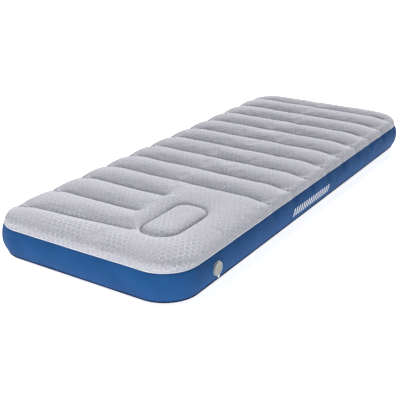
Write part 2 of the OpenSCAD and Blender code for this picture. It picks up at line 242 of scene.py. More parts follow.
# The edge roll is a tight arc from the seam and a wide one that meets the crown, ROLL_W inside the seam.
ROLL_W, TIGHT_R = 128 * MM, 35 * MM
RISE = CROWN_Z - SEAM_Z
WIDE_R = ((ROLL_W - TIGHT_R) ** 2 + RISE**2 - TIGHT_R**2) / (2 * (RISE - TIGHT_R))
JOIN_A = math.atan2(WIDE_R - RISE, ROLL_W - TIGHT_R)
JOIN_D = TIGHT_R * (1 - math.cos(JOIN_A))
BEAM_TOP_Z = float(span(BEAMS[0])[1][2])
SHEET_T = 0.8 * MM
WELD_Z = BEAM_TOP_Z + SHEET_T
SLOT_D = 3 * MM
GROOVE_D = CROWN_Z - WELD_Z - SLOT_D

WELD_W, WELL_EDGE_W = 4.2 * MM, 4 * MM
WELD_FROM_SEAM = (8 * MM, 34 * MM)  # a weld fades in between these distances from the seam
SHORT_END = (-22 * MM, 16 * MM)  # and out between these places past a short beam's end
HEAD_SPAN, FOOT_SPAN, WELL_SPAN = 82 * MM, 84 * MM, 62 * MM  # from an end weld or the well to the crown

# The last weld runs askew over LAST_X and fades over LAST_END_X, where it meets the pump.
LAST_X, LAST_END_X = (-0.37, 0.137), (0.10, 0.15)
LAST_SHIFT, LAST_TILT = -12 * MM, 0.084

# The well's edge is pulled down less at its far end, from these distances past its middle.
WELL_FAR_Y = (0.05, 0.14)
FAR_LINE_LOSS, FAR_PULL_LOSS = 0.4, 0.35

PUCKER_IN, PUCKER_W = 24 * MM, 5 * MM
PUCKERS = ((0.0, 0.8 * MM), (0.55, 0.45 * MM), (-0.55, 0.45 * MM))  # slope and depth of each crease
SWAY_W, SWAY_IN, SWAY_DIP = 24 * MM, 3.2 * MM, 3.0 * MM
SWAY_SIDE = (60 * MM, 8 * MM)  # the welds sway only the long sides, within this of the seam
FLAT_FROM, SEAM_REACH = 30 * MM, 40 * MM


def roll(d):
    """Height of the edge roll at a distance d inside the seam."""
    tight = SEAM_Z + np.sqrt(np.maximum(TIGHT_R**2 - (TIGHT_R - np.minimum(d, TIGHT_R)) ** 2, 0))
    wide = CROWN_Z - WIDE_R + np.sqrt(WIDE_R**2 - (ROLL_W - np.clip(d, 0, ROLL_W)) ** 2)
    return np.where(d < JOIN_D, tight, wide)


def last_beam_bend(x):
    """How far the last weld lies from its beam's middle, across the bed: it runs up to meet the pump."""
    return LAST_SHIFT + LAST_TILT * (np.clip(x, *LAST_X) - LAST_X[0])


def well_distance(x, y):
    """Distance outside the pump well's edge."""
    u, v = x - PAD_C[0], y - PAD_C[1]
    return -inside(u, v, WELL_HX, WELL_HY, np.where(v < 0, WELL_R_NEAR, WELL_R_FAR))


def valley(t):
    """A channel's drop, from 1 at its weld to 0 at its crown: steep beside the weld, round on top."""
    u = np.clip(1 - t, 0, 1)
    return 0.45 * u**2 + 0.55 * (1 - np.sqrt(np.maximum(1 - u**2, 0)))


def groove_fade(i, x, d):
    """How deep weld i still is, from 1 along its length to 0 past its ends."""
    full = smooth(*WELD_FROM_SEAM, d)
    if i < FULL_BEAMS:
        return full
    if i == LAST:
        return full * (1 - smooth(*LAST_END_X, x))
    return full * (1 - smooth(*SHORT_END, x - BEAM_END_X[i]))


def from_weld(i, x, y):
    """Distance along the bed from weld i, positive towards the head."""
    return y - BEAM_Y[i] - (last_beam_bend(x) if i == LAST else 0)


def far_end(y):
    """1 at the pump's far end, where its edge is pulled down less, and 0 along the rest."""
    return smooth(*WELL_FAR_Y, y - PAD_C[1])


def weld_line(x, y, d):
    """1 along each weld and the pump well's edge, 0 a few millimetres away."""
    lines = bump(np.maximum(well_distance(x, y), 0), WELL_EDGE_W) * (1 - FAR_LINE_LOSS * far_end(y))
    for i in range(len(BEAMS)):
        lines = np.maximum(lines, groove_fade(i, x, d) ** 0.5 * bump(from_weld(i, x, y), WELD_W))
    return lines


def drop(x, y, d):
    """How far the welds pull the top sheet down."""
    total = np.zeros(np.broadcast(x, y).shape)
    for i, y0 in enumerate(BEAM_Y):
        off = from_weld(i, x, y)
        before = (BEAM_Y[i - 1] - y0) / 2 if i else HEAD_SPAN
        after = (y0 - BEAM_Y[i + 1]) / 2 if i < LAST else FOOT_SPAN
        t = np.abs(off) / np.where(off > 0, before, after)
        total = np.maximum(total, GROOVE_D * groove_fade(i, x, d) * valley(t))
    well = valley(np.maximum(well_distance(x, y), 0) / WELL_SPAN)
    around = GROOVE_D * (1 - FAR_PULL_LOSS * far_end(y)) * well
    return (total**3 + around**3) ** (1 / 3) + SLOT_D * weld_line(x, y, d)


def puckers(x, y, d):
    """Small creases that run from the end of each weld towards the seam."""
    total = np.zeros(np.broadcast(x, y).shape)
    for i in range(len(BEAMS)):
        for side in (-1, 1) if i < FULL_BEAMS else (-1,):
            u, v = side * x - (SEAM_X - PUCKER_IN), from_weld(i, x, y)
            reach, clear = smooth(-26 * MM, 2 * MM, u), smooth(5 * MM, 14 * MM, d)
            for slope, depth in PUCKERS:
                total = total + depth * bump(v - slope * (u + 8 * MM), PUCKER_W) * reach * clear
    return total


def beside_welds(x, y, width):
    """1 where a weld points at the side of the bed, 0 more than about width from it."""
    return sum(bump(y - y0, width) * ((x < 0) | (i < FULL_BEAMS)) for i, y0 in enumerate(BEAM_Y))


def sway(x, y):
    """How far the upper seam strays: (out, up). It draws in and dips beside each weld."""
    near = beside_welds(x, y, SWAY_W)
    long_side = smooth(SEAM_X - SWAY_SIDE[0], SEAM_X - SWAY_SIDE[1], np.abs(x))
    out = -SWAY_IN * near * long_side + 0.7 * MM * ripple(x, y, 0.21, 0.4)
    up = -SWAY_DIP * near * long_side + 0.8 * MM * ripple(x, y, 0.16, 2.1)
    return out, up


def seam_normal(x, y):
    """Unit direction out of the bed, for points near its outline."""
    p = np.maximum(np.abs(x) - (SEAM_X - CORNER_R), 0) * np.sign(x)
    q = np.maximum(np.abs(y) - (SEAM_Y - CORNER_R), 0) * np.sign(y)
    size = np.maximum(np.hypot(p, q), 1e-9)
    return p / size, q / size


def top_point(x, y):
    """A point of the top sheet over a place in its plan."""
    d = inside(x, y, SEAM_X, SEAM_Y, CORNER_R)
    inner = smooth(0, FLAT_FROM, d)
    z = roll(d) - drop(x, y, d) - puckers(x, y, d)
    z = z + inner * 0.5 * MM * ripple(x, y, 0.17, 1.0)
    z = np.where(d > FLAT_FROM, np.maximum(z, WELD_Z), z)
    out, up = sway(x, y)
    near = 1 - smooth(0, SEAM_REACH, d)
    nx, ny = seam_normal(x, y)
    return x + nx * out * near, y + ny * out * near, z + up * near


EXCESS_D = np.linspace(0, ROLL_W, 400)
STEPS = np.hypot(np.diff(roll(EXCESS_D)), np.diff(EXCESS_D)) - np.diff(EXCESS_D)
EXCESS = np.concatenate([np.cumsum(STEPS[::-1])[::-1], [0]])


def flat_top(x, y):
    """Where a point of the top lay on the flat cloth."""
    d = inside(x, y, SEAM_X, SEAM_Y, CORNER_R)
    nx, ny = seam_normal(x, y)
    more = np.interp(d, EXCESS_D, EXCESS)
    return np.stack([x + nx * more, y + ny * more], axis=-1)


# ---------- materials ----------


class Sum:
    """A shader value that takes part in plain arithmetic."""

    def __init__(self, tree, socket):
        self.tree, self.socket = tree, socket

    def node(self, kind, *inputs, **settings):
        node = self.tree.nodes.new(kind)
        for key, value in settings.items():
            setattr(node, key, value)
        for i, value in enumerate(inputs):
            if isinstance(value, Sum):
                self.tree.links.new(value.socket, node.inputs[i])
            else:
                node.inputs[i].default_value = value
        return node

    def math(self, operation, *others):
        node = self.node("ShaderNodeMath", self, *others, operation=operation)
        return Sum(self.tree, node.outputs[0])

    def __add__(self, other):
        return self.math("ADD", other)

    def __sub__(self, other):
        return self.math("SUBTRACT", other)

    def __mul__(self, other):
        return self.math("MULTIPLY", other)

    def __abs__(self):
        return self.math("ABSOLUTE")

    def step(self, low, high):
        """0 at low and 1 at high, smoothly."""
        node = self.node("ShaderNodeMapRange", self, low, high, 0.0, 1.0, interpolation_type="SMOOTHSTEP")
        return Sum(self.tree, node.outputs[0])


class Look:
    """One procedural material: coordinates, patterns, and the Principled shader they feed."""

    def __init__(self, name, roughness, flat=False, **settings):
        self.mat = bpy.data.materials.new(name)
        self.mat.use_nodes = True
        self.tree = self.mat.node_tree
        self.shader = self.tree.nodes["Principled BSDF"]
        self.shader.inputs["Roughness"].default_value = roughness
        for key, value in settings.items():
            self.shader.inputs[key.replace("_", " ")].default_value = value
        if flat:
            node = self.tree.nodes.new("ShaderNodeAttribute")
            node.attribute_name = "flat"
            self.where = Sum(self.tree, node.outputs["Vector"])
        else:
            node = self.tree.nodes.new("ShaderNodeTexCoord")
            self.where = Sum(self.tree, node.outputs["Object"])

    def axis(self, i):
        node = self.where.node("ShaderNodeSeparateXYZ", self.where)
        return Sum(self.tree, node.outputs[i])

    def noise(self, scale, detail=2.0, rough=0.5, stretch=None):
        where = self.where
        if stretch:
            node = where.node("ShaderNodeVectorMath", where, stretch, operation="MULTIPLY")
            where = Sum(self.tree, node.outputs[0])
        node = self.tree.nodes.new("ShaderNodeTexNoise")
        self.tree.links.new(where.socket, node.inputs["Vector"])
        node.inputs["Scale"].default_value = scale
        node.inputs["Detail"].default_value = detail
        node.inputs["Roughness"].default_value = rough
        return Sum(self.tree, node.outputs[0])

    def mix(self, factor, a, b):
        """Colour a where the pattern factor is 0 and colour b where it is 1."""
        node = self.tree.nodes.new("ShaderNodeMix")
        node.data_type = "RGBA"
        for i, value in ((0, factor), (6, a), (7, b)):
            if isinstance(value, Sum):
                self.tree.links.new(value.socket, node.inputs[i])
            else:
                node.inputs[i].default_value = (*value, 1)
        return Sum(self.tree, node.outputs[2])

    def colour(self, value):
        self.tree.links.new(value.socket, self.shader.inputs["Base Color"])

    def relief(self, height, distance, strength=1.0):
        """Bump from a height between 0 and 1, distance being the real depth in metres."""
        node = self.tree.nodes.new("ShaderNodeBump")
        node.inputs["Distance"].default_value = distance
        node.inputs["Strength"].default_value = strength
        self.tree.links.new(height.socket, node.inputs["Height"])
        self.tree.links.new(node.outputs[0], self.shader.inputs["Normal"])

    def weave(self, pitch):
        """A plain weave's height from 0 to 1 on the flat cloth."""
        k = 2 * math.pi / pitch
        u, v = (self.axis(0) * k).math("SINE"), (self.axis(1) * k).math("SINE")
        return (u * v) * 0.5 + 0.5


HEX_PITCH = 22 * MM
ROOT3 = math.sqrt(3)
TOP_WEAVE, BAND_WEAVE = 1.6 * MM, 1.4 * MM
PRINT_FROM_Y, PRINT_FULL_Y = -0.60, -0.95  # the print is clearer at the foot end
# Where the blue cloth is darkened beside its seams: the welds' own darker tone together with painted shade.
UPPER_WELD_AND_SHADE = (3.0 * MM, 5.5 * MM)  # below the band's upper edge
LOWER_WELD_AND_SHADE = (106 * MM, 109 * MM)  # further down it, beside its lower edge


def hexagons(look, pitch):
    """0 at a hexagonal cell's middle and 0.5 on its edge."""
    x, y = look.axis(0) * (1 / pitch), look.axis(1) * (1 / pitch)
    cells = []
    for shift in (0.0, 0.5):
        gx = (x + shift).math("FLOORED_MODULO", 1.0) - 0.5
        gy = (y + shift * ROOT3).math("FLOORED_MODULO", ROOT3) - ROOT3 / 2
        cells.append((gx, gy, gx * gx + gy * gy))
    (ax, ay, aa), (bx, by, bb) = cells
    first = aa.math("LESS_THAN", bb)
    other = first * -1.0 + 1.0
    gx, gy = abs(ax * first + bx * other), abs(ay * first + by * other)
    return gx.math("MAXIMUM", gx * 0.5 + gy * (ROOT3 / 2))


def grey_fabric():
    """Heather grey cloth with a faint honeycomb print, and painted shade along the weld creases."""
    look = Look("grey_fabric", 0.92, flat=True, Specular_IOR_Level=0.15, Sheen_Weight=0.08,
                Sheen_Roughness=0.5)
    cell = hexagons(look, HEX_PITCH)
    edge = cell.step(0.34, 0.46)
    ring = cell.step(0.08, 0.22) * (cell.step(0.29, 0.39) * -1.0 + 1.0)
    patchy = look.noise(6.0, 2.0).step(0.38, 0.62) * 0.8 + 0.2
    foot = look.axis(1).step(PRINT_FROM_Y, PRINT_FULL_Y)
    worn = look.noise(48.0, 2.0).step(0.30, 0.60) * 0.6 + 0.4
    mottle = look.noise(170.0, 3.0, 0.6).step(0.42, 0.60)
    fleck = look.noise(140.0, 3.0, 0.6, stretch=(1.0, 1.3, 1.0)).step(0.52, 0.66)
    # Painted shade: darkens the cloth along the weld lines, where the narrow welded creases fall in shade.
    weld_and_shade = (look.axis(2) * (1 / MM)).step(0.25, 1.0)
    speck = look.noise(380.0, 3.0, 0.7).step(0.36, 0.64)
    fibre = look.noise(1500.0, 2.0, 0.6)
    cloth = look.mix(speck, (0.40, 0.41, 0.48), (0.68, 0.675, 0.68))
    cloth = look.mix(mottle * 0.65, cloth, (0.32, 0.33, 0.46))
    cloth = look.mix(fleck * 0.4, cloth, (0.82, 0.81, 0.80))
    cloth = look.mix(ring * worn * patchy * (foot * 0.05 + 0.4), cloth, (0.28, 0.31, 0.42))
    cloth = look.mix(edge * worn * patchy * (foot * 0.32 + 0.12), cloth, (0.76, 0.77, 0.78))
    cloth = look.mix(look.noise(110.0, 3.0).step(0.52, 0.64) * 0.25, cloth, (0.70, 0.62, 0.50))
    # Painted shade in the weld creases, darkest on the weld line.
    cloth = look.mix(weld_and_shade * 0.8, cloth, (0.11, 0.12, 0.18))
    look.colour(cloth)
    look.relief(edge * 0.25 + speck * 0.2 + fibre * 0.35 + look.weave(TOP_WEAVE) * 0.3, 0.5 * MM)
    return look.mat


def blue_fabric():
    """Blue laminated cloth, darker along both seams: partly the welds' own darker tone, partly painted
    shade under the overhanging upper seam and under the bed's edge.
    """
    look = Look("blue_fabric", 0.7, flat=True, Specular_IOR_Level=0.15)
    cloud = look.noise(9.0, 3.0).step(0.3, 0.7)
    fine = look.noise(420.0, 2.0, 0.6)
    cloth = look.mix(cloud, (0.0076, 0.064, 0.205), (0.0111, 0.080, 0.246))
    cloth = look.mix(fine.step(0.35, 0.7) * 0.25, cloth, (0.020, 0.096, 0.27))
    down = look.axis(1)
    # Painted shade with the welds' own darker tone: a dark stripe in the shade under the upper seam's
    # overhang, and one just above the lower seam, in the shade under the bed's edge.
    weld_and_shade = (down.step(*UPPER_WELD_AND_SHADE) * -1.0 + 1.0) + down.step(*LOWER_WELD_AND_SHADE)
    cloth = look.mix(weld_and_shade * 0.85, cloth, (0.008, 0.026, 0.105))
    look.colour(cloth)
    look.relief(fine * 0.4 + look.weave(BAND_WEAVE) * 0.6, 0.35 * MM)
    return look.mat


def soft_plastic(name, light, dark, roughness):
    """Moulded or sheet vinyl with a faint cloudy grain."""
    look = Look(name, roughness)
    cloud, grain = look.noise(60.0, 3.0), look.noise(900.0, 2.0)
    look.colour(look.mix(cloud.step(0.35, 0.65), dark, light))
    look.relief(grain, 0.15 * MM, 0.6)
    return look.mat


def cap_plastic():
    """Pale cap, slightly warmer towards its middle."""
    look = Look("cap_plastic", 0.38)
    y, z = look.axis(1) - VALVE_Y, look.axis(2) - VALVE_Z
    middle = (y * y + z * z).math("SQRT").step(9 * MM, 17 * MM) * -1.0 + 1.0
    pale = look.mix(look.noise(80.0, 3.0).step(0.35, 0.65), (0.25, 0.265, 0.265), (0.31, 0.32, 0.315))
    look.colour(look.mix(middle * 0.8, pale, (0.27, 0.265, 0.19)))
    look.relief(look.noise(1100.0, 2.0), 0.12 * MM, 0.6)
    return look.mat


def foam_look():
    """Open-cell foam."""
    look = Look("foam", 0.95)
    node = look.tree.nodes.new("ShaderNodeTexVoronoi")
    node.inputs["Scale"].default_value = 600.0
    look.tree.links.new(look.where.socket, node.inputs["Vector"])
    cell = Sum(look.tree, node.outputs[0])
    look.colour(look.mix(cell.step(0.1, 0.6), (0.36, 0.33, 0.20), (0.72, 0.68, 0.48)))
    look.relief(cell, 0.8 * MM)
    return look.mat


GREY = grey_fabric()
BLUE = blue_fabric()
NAVY = soft_plastic("navy_vinyl", (0.014, 0.032, 0.10), (0.009, 0.022, 0.075), 0.5)
WHITE_EDGE = soft_plastic("white_edge", (0.84, 0.88, 0.96), (0.76, 0.81, 0.92), 0.55)
INNER = soft_plastic("inner_vinyl", (0.46, 0.50, 0.56), (0.38, 0.42, 0.50), 0.45)
PALE = soft_plastic("pale_vinyl", (0.60, 0.61, 0.62), (0.54, 0.55, 0.57), 0.4)
SILICONE = soft_plastic("silicone", (0.58, 0.59, 0.60), (0.48, 0.50, 0.52), 0.25)
SILVER = soft_plastic("silver_print", (0.86, 0.88, 0.90), (0.78, 0.80, 0.84), 0.45)
TAB_WHITE = soft_plastic("tab_white", (0.84, 0.85, 0.86), (0.78, 0.79, 0.80), 0.4)
CAP = cap_plastic()
FOAM = foam_look()

# ---------- top sheet ----------

STEP = 6 * MM
EDGE_LINES = [TIGHT_R * (1 - math.cos(math.radians(a))) for a in range(0, 80, 8)]
NEAR_WELD = (-8 * MM, -3 * MM, 0, 3 * MM, 8 * MM)
BEND_REACH, BEND_STOP_X = 40 * MM, (0.05, 0.11)  # how far the grid bends with the last weld
BEND_SEAM = (12 * MM, 60 * MM)
WELL_REACH = 60 * MM
HELD_EDGE, HELD_WELD, HELD_FADE = 1 * MM, 2 * MM, 0.25  # what the cloth is held by while it is blown up


def plan_lines(half, keys, edge_lines):
    """Grid lines from -half to half, close together at the edges and through every key."""
    edges = [half - d for d in edge_lines]
    every = sorted(set([-e for e in edges] + list(keys) + edges))
    return spaced(every, STEP)


def make_top():
    """The top sheet: a grid bent along the last weld, rounded to the outline and cut open at the pump."""
    xs = plan_lines(SEAM_X, (PAD_C[0] - WELL_HX, PAD_C[0] + WELL_HX), EDGE_LINES)
    ys = plan_lines(SEAM_Y, [y + o for y in BEAM_Y for o in NEAR_WELD]
                    + [PAD_C[1] - WELL_HY, PAD_C[1] + WELL_HY], EDGE_LINES)
    x, y = np.meshgrid(xs, ys)
    mid_x, mid_y = (x[1:, 1:] + x[:-1, :-1]) / 2, (y[1:, 1:] + y[:-1, :-1]) / 2
    keep = (np.abs(mid_x - PAD_C[0]) > WELL_HX) | (np.abs(mid_y - PAD_C[1]) > WELL_HY)
    bend = last_beam_bend(x) * bump(y - BEAM_Y[LAST], BEND_REACH) * (1 - smooth(*BEND_STOP_X, x))
    y = y + bend * smooth(SEAM_Y - BEND_SEAM[0], SEAM_Y - BEND_SEAM[1], np.abs(y))
    u, v = x - PAD_C[0], y - PAD_C[1]
    near = np.where(v < 0, WELL_R_NEAR, WELL_R_FAR)
    u, v = on_rounded(u, v, WELL_HX, WELL_HY, lambda e: near * np.clip(1 - e / WELL_REACH, 0, 1))
    x, y = u + PAD_C[0], v + PAD_C[1]
    x, y = on_rounded(x, y, SEAM_X, SEAM_Y, lambda e: np.maximum(CORNER_R + e, 0))
    flat = flat_top(x, y)
    px, py, pz = top_point(x, y)
    points = np.stack([px, py, pz], axis=-1).reshape(-1, 3)
    faces = grid_faces(len(ys), len(xs), keep)
    d = inside(x, y, SEAM_X, SEAM_Y, CORNER_R)
    held = (d < HELD_EDGE) | (well_distance(x, y) < HELD_EDGE)
    for i in range(len(BEAMS)):
        held = held | ((np.abs(from_weld(i, x, y)) < HELD_WELD) & (groove_fade(i, x, d) > HELD_FADE))
    # The third flat column carries the weld lines, along which the grey cloth paints shade.
    extra = np.stack([flat[..., 0], flat[..., 1], weld_line(x, y, d) * MM, held], axis=-1).reshape(-1, 4)
    points, faces, extra = drop_loose(points, faces, extra)
    top = make("top_cover", points, faces, GREY)
    set_flat(top, extra[:, :3])
    puff(top, extra[:, 3] > 0.5, pressure=0.6, grow=0.0025, cap=5 * MM)
    return top


top = make_top()
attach(top, "mattress")
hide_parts("top_sheet")

# ---------- side band ----------

# The band's section is an arc from one seam to the other, leaning in towards the floor.
CHORD = math.hypot(SEAM_X - BASE_X, SEAM_Z - LOW_SEAM_Z)
SAGITTA = BAND_X - SEAM_X + (SEAM_X - BASE_X) / 2
BAND_R = ((CHORD / 2) ** 2 + SAGITTA**2) / (2 * SAGITTA)
LEAN = math.atan2(SEAM_X - BASE_X, SEAM_Z - LOW_SEAM_Z)
BAND_CN = -(SEAM_X - BASE_X) / 2 - (BAND_R - SAGITTA) * math.cos(LEAN)
BAND_CZ = (SEAM_Z + LOW_SEAM_Z) / 2 + (BAND_R - SAGITTA) * math.sin(LEAN)
STRAIGHT_X, STRAIGHT_Y = 2 * (SEAM_X - CORNER_R), 2 * (SEAM_Y - CORNER_R)
QUARTER = CORNER_R * math.pi / 2
AROUND = 2 * (STRAIGHT_X + STRAIGHT_Y) + 4 * QUARTER
CORNER_LEAD, CORNER_FADE = 30 * MM, 50 * MM

FOLD_W, FOLD_D = 17 * MM, 1.3 * MM  # folds under each weld's end
GATHER_PITCH, GATHER_D = 41 * MM, 0.9 * MM  # gathers round the corners
WAVE_D, JOIN_FADE = 0.8 * MM, 0.1  # uneven waves that fade out where the strip's ends meet
TUCK_D, LOW_TUCK_D = 1.6 * MM, 1.1 * MM  # where the welds pull the band in
CALM_W = 25 * MM  # it is smooth round the valve
VALVE_S = VALVE_Y + STRAIGHT_Y / 2
JOIN_S = VALVE_S - AROUND / 2  # where the strip's ends meet, across the bed from the valve


def outline(s):
    """Point and outward direction on the upper seam's plan, s metres round from the valve side's foot."""
    s = np.asarray(s, float) % AROUND
    x, y = np.zeros_like(s), np.zeros_like(s)
    nx, ny = np.zeros_like(s), np.zeros_like(s)
    start = 0.0
    for k in range(4):
        turn = k * math.pi / 2
        length, half_out = (STRAIGHT_Y, SEAM_X) if k % 2 == 0 else (STRAIGHT_X, SEAM_Y)
        on = (s >= start) & (s < start + length)
        u, out = s - start - length / 2, np.full_like(s, half_out)
        c, w = math.cos(turn), math.sin(turn)
        x, y = np.where(on, c * out - w * u, x), np.where(on, w * out + c * u, y)
        nx, ny = np.where(on, c, nx), np.where(on, w, ny)
        start += length
        on = (s >= start) & (s < start + QUARTER)
        a = turn + (s - start) / CORNER_R
        cx = math.copysign(SEAM_X - CORNER_R, math.cos(turn + math.pi / 4))
        cy = math.copysign(SEAM_Y - CORNER_R, math.sin(turn + math.pi / 4))
        x, y = np.where(on, cx + CORNER_R * np.cos(a), x), np.where(on, cy + CORNER_R * np.sin(a), y)
        nx, ny = np.where(on, np.cos(a), nx), np.where(on, np.sin(a), ny)
        start += QUARTER
    return x, y, nx, ny


def band_bulge(z):
    """How far the side band stands out from the upper seam at a height."""
    return BAND_CN + np.sqrt(BAND_R**2 - (z - BAND_CZ) ** 2)


def at_corner(x, y):
    """1 on the rounded corners, 0 along the sides."""
    p = np.abs(x) - (SEAM_X - CORNER_R) + CORNER_LEAD
    q = np.abs(y) - (SEAM_Y - CORNER_R) + CORNER_LEAD
    return smooth(0, CORNER_FADE, p) * smooth(0, CORNER_FADE, q)


def band_point(s, z, lift=0.0):
    """A point of the side band, lift metres proud of it."""
    x, y, nx, ny = outline(s)
    down = SEAM_Z - z
    out, up = sway(x, y)
    high = 1 - smooth(0, 45 * MM, down)
    off_valve = np.hypot(y - VALVE_Y, z - VALVE_Z) + np.where(x > SEAM_X / 2, 0, AROUND)
    calm = smooth(RECESS_R, RECESS_R + CALM_W, off_valve)
    corner = at_corner(x, y)
    sides = (1 - corner) * (np.abs(nx) > 0.5)
    upper_part = smooth(2 * MM, 12 * MM, down) * (1 - smooth(15 * MM, 55 * MM, down))
    folds = -FOLD_D * beside_welds(x, y, FOLD_W) * sides * upper_part
    s_wave = np.sin(2 * math.pi * s / GATHER_PITCH) * (0.5 + 0.5 * ripple(x, y, 0.13, 5.0))
    ends = (1 - smooth(4 * MM, 34 * MM, down)) + smooth(80 * MM, 106 * MM, down)
    folds = folds + GATHER_D * corner * s_wave * ends * smooth(0, 5 * MM, down)
    from_join = smooth(0, JOIN_FADE, AROUND / 2 - np.abs(s - VALVE_S))
    folds = folds + WAVE_D * ripple(s, z * 2.2, 0.14, 4.0) * smooth(0, 12 * MM, down) * from_join
    tuck = -TUCK_D * bump(down - 2.8 * MM, 1.9 * MM)
    tuck = tuck - LOW_TUCK_D * bump(z - LOW_SEAM_Z - 2.5 * MM, 2.0 * MM)
    n = band_bulge(z) + out * high + (folds + tuck) * calm + lift
    return np.stack([x + nx * n, y + ny * n, z + up * high], axis=-1)


def make_band():
    """The side band: one strip round the bed, with a round hole for the valve's recess."""
    edge = [0, 1.2 * MM, 2.4 * MM, 3.6 * MM, 5.5 * MM, 8 * MM]
    low_edge = [104 * MM, 106.5 * MM, 108.5 * MM, 110 * MM]
    hole = [SEAM_Z - VALVE_Z - RECESS_R, SEAM_Z - VALVE_Z + RECESS_R]
    down = spaced(sorted(edge + low_edge + hole), STEP)
    beside = (-60 * MM, -RECESS_R, RECESS_R, 60 * MM)
    around = spaced([JOIN_S, *(VALVE_S + o for o in beside), JOIN_S + AROUND], STEP)
    s, t = np.meshgrid(around, down)
    mid_s, mid_t = (s[1:, 1:] + s[1:, :-1]) / 2, (t[1:, 1:] + t[:-1, 1:]) / 2
    keep = (np.abs(mid_s - VALVE_S) > RECESS_R) | (np.abs(SEAM_Z - mid_t - VALVE_Z) > RECESS_R)
    u, v = on_rounded(s - VALVE_S, SEAM_Z - t - VALVE_Z, RECESS_R, RECESS_R,
                      lambda e: RECESS_R * np.clip(1 - e / (20 * MM), 0, 1))
    s, z = u + VALVE_S, v + VALVE_Z
    points = band_point(s, z).reshape(-1, 3)
    flat = np.stack([s, SEAM_Z - z], axis=-1).reshape(-1, 2)
    faces = [f[::-1] for f in grid_faces(len(down), len(around), keep)]
    points, faces, flat = drop_loose(points, faces, flat)
    band = make("band_cover", points, faces, BLUE)
    set_flat(band, flat)
    return band


band = make_band()
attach(band, "mattress")
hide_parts("side_band")


def seam_ring(name, section, height, mat, dip):
    """A welded edge that runs round the bed. section lists (out, up) from the seam's line.

    dip is how much of the seam's sway it follows."""
    around = spaced([0.0, AROUND], STEP)[:-1]
    x, y, nx, ny = outline(around)
    out, up = sway(x, y)
    rings = []
    for n, z in section:
        off = n + out * dip
        rings.append(np.stack([x + nx * off, y + ny * off, height + z + up * dip], axis=-1))
    faces, cols = [], len(around)
    for i in range(len(section)):
        k = (i + 1) % len(section)
        for j in range(cols):
            m = (j + 1) % cols
            faces.append((i * cols + j, k * cols + j, k * cols + m, i * cols + m))
    ring = make(name, np.concatenate(rings), faces, mat)
    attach(ring, "mattress")
    return ring


UPPER_SECTION = [(-0.5 * MM, 1.6 * MM), (0.8 * MM, 1.8 * MM), (2.0 * MM, 1.3 * MM), (2.6 * MM, 0.2 * MM),
                 (2.2 * MM, -0.8 * MM), (1.0 * MM, -0.9 * MM), (-0.5 * MM, -0.6 * MM)]
upper = seam_ring("upper_seam_edge", UPPER_SECTION, SEAM_Z, WHITE_EDGE, 1.0)
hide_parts("upper_seam")

LOW_N = BASE_X - SEAM_X
LOWER_SECTION = [(LOW_N - 0.6 * MM, 0.9 * MM), (LOW_N + 1.4 * MM, 1.3 * MM), (LOW_N + 3.2 * MM, 0.2 * MM),
                 (LOW_N + 3.0 * MM, -1.4 * MM), (LOW_N + 1.0 * MM, -1.9 * MM),
                 (LOW_N - 0.8 * MM, -0.9 * MM)]
lower = seam_ring("lower_seam_edge", LOWER_SECTION, LOW_SEAM_Z, NAVY, 0.0)
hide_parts("lower_seam")

# ---------- bottom sheet ----------

FOOT_W = 46 * MM
FOOT_R = (FOOT_W**2 + LOW_SEAM_Z**2) / (2 * LOW_SEAM_Z)
WELD_MARK, MARK_EDGE = 0.9 * MM, (6 * MM, 9 * MM)  # height, and where its long edges lie from its middle
MARK_FROM_SEAM = 50 * MM


def make_bottom():
    """The underside: flat, with a rolled edge and a faint mark under each beam."""
    edge_lines = [FOOT_W * k / 9 for k in range(10)]
    xs = plan_lines(BASE_X, (), edge_lines)
    ys = plan_lines(BASE_Y, [y + o for y in BEAM_Y for o in (-9 * MM, -7 * MM, 7 * MM, 9 * MM)], edge_lines)
    x, y = np.meshgrid(xs, ys)
    x, y = on_rounded(x, y, BASE_X, BASE_Y, lambda e: np.maximum(LOW_CORNER_R + e, 0))
    d = inside(x, y, BASE_X, BASE_Y, LOW_CORNER_R)
    z = FOOT_R - np.sqrt(FOOT_R**2 - (FOOT_W - np.clip(d, 0, FOOT_W)) ** 2)
    for i, y0 in enumerate(BEAM_Y):
        end = BASE_X - MARK_FROM_SEAM if i < FULL_BEAMS else BEAM_END_X[i]
        clear = smooth(MARK_FROM_SEAM, MARK_FROM_SEAM + 12 * MM, d)
        z = z + WELD_MARK * (1 - smooth(*MARK_EDGE, np.abs(y - y0))) * clear * (x < end)
    points = np.stack([x, y, z], axis=-1).reshape(-1, 3)
    flat = np.stack([x, y], axis=-1).reshape(-1, 2)
    faces = [f[::-1] for f in grid_faces(len(ys), len(xs))]
    bottom = make("bottom_cover", points, faces, NAVY)
    set_flat(bottom, flat)
    return bottom


bottom = make_bottom()
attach(bottom, "mattress")
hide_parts("bottom_sheet")

# ---------- foot pump ----------

PAD_R_NEAR, PAD_R_FAR = WELL_R_NEAR - PAD_GAP, WELL_R_FAR - PAD_GAP
PAD_EDGE_Z, SKIRT_Z = WELD_Z - 2 * MM, float(PAD_LOW[2])
FAR_EDGE_UP = 6 * MM
PAD_ROLL, PAD_CROWN = 42 * MM, 2.5 * MM
PAD_DOME_DOWN = 1.5 * MM  # leaves room for the crown and the waves on top of the dome
ROUND_COUNT = 160


def pad_outline(x, y, grow=0.0):
    """Distance inside the pad's edge."""
    u, v = x - PAD_C[0], y - PAD_C[1]
    near = np.where(v < 0, PAD_R_NEAR, PAD_R_FAR) + grow
    return inside(u, v, PAD_HX + grow, PAD_HY + grow, near)


def pad_edge(y):
    """Height of the pad's edge, which is higher at the far end."""
    return PAD_EDGE_Z + FAR_EDGE_UP * far_end(y)


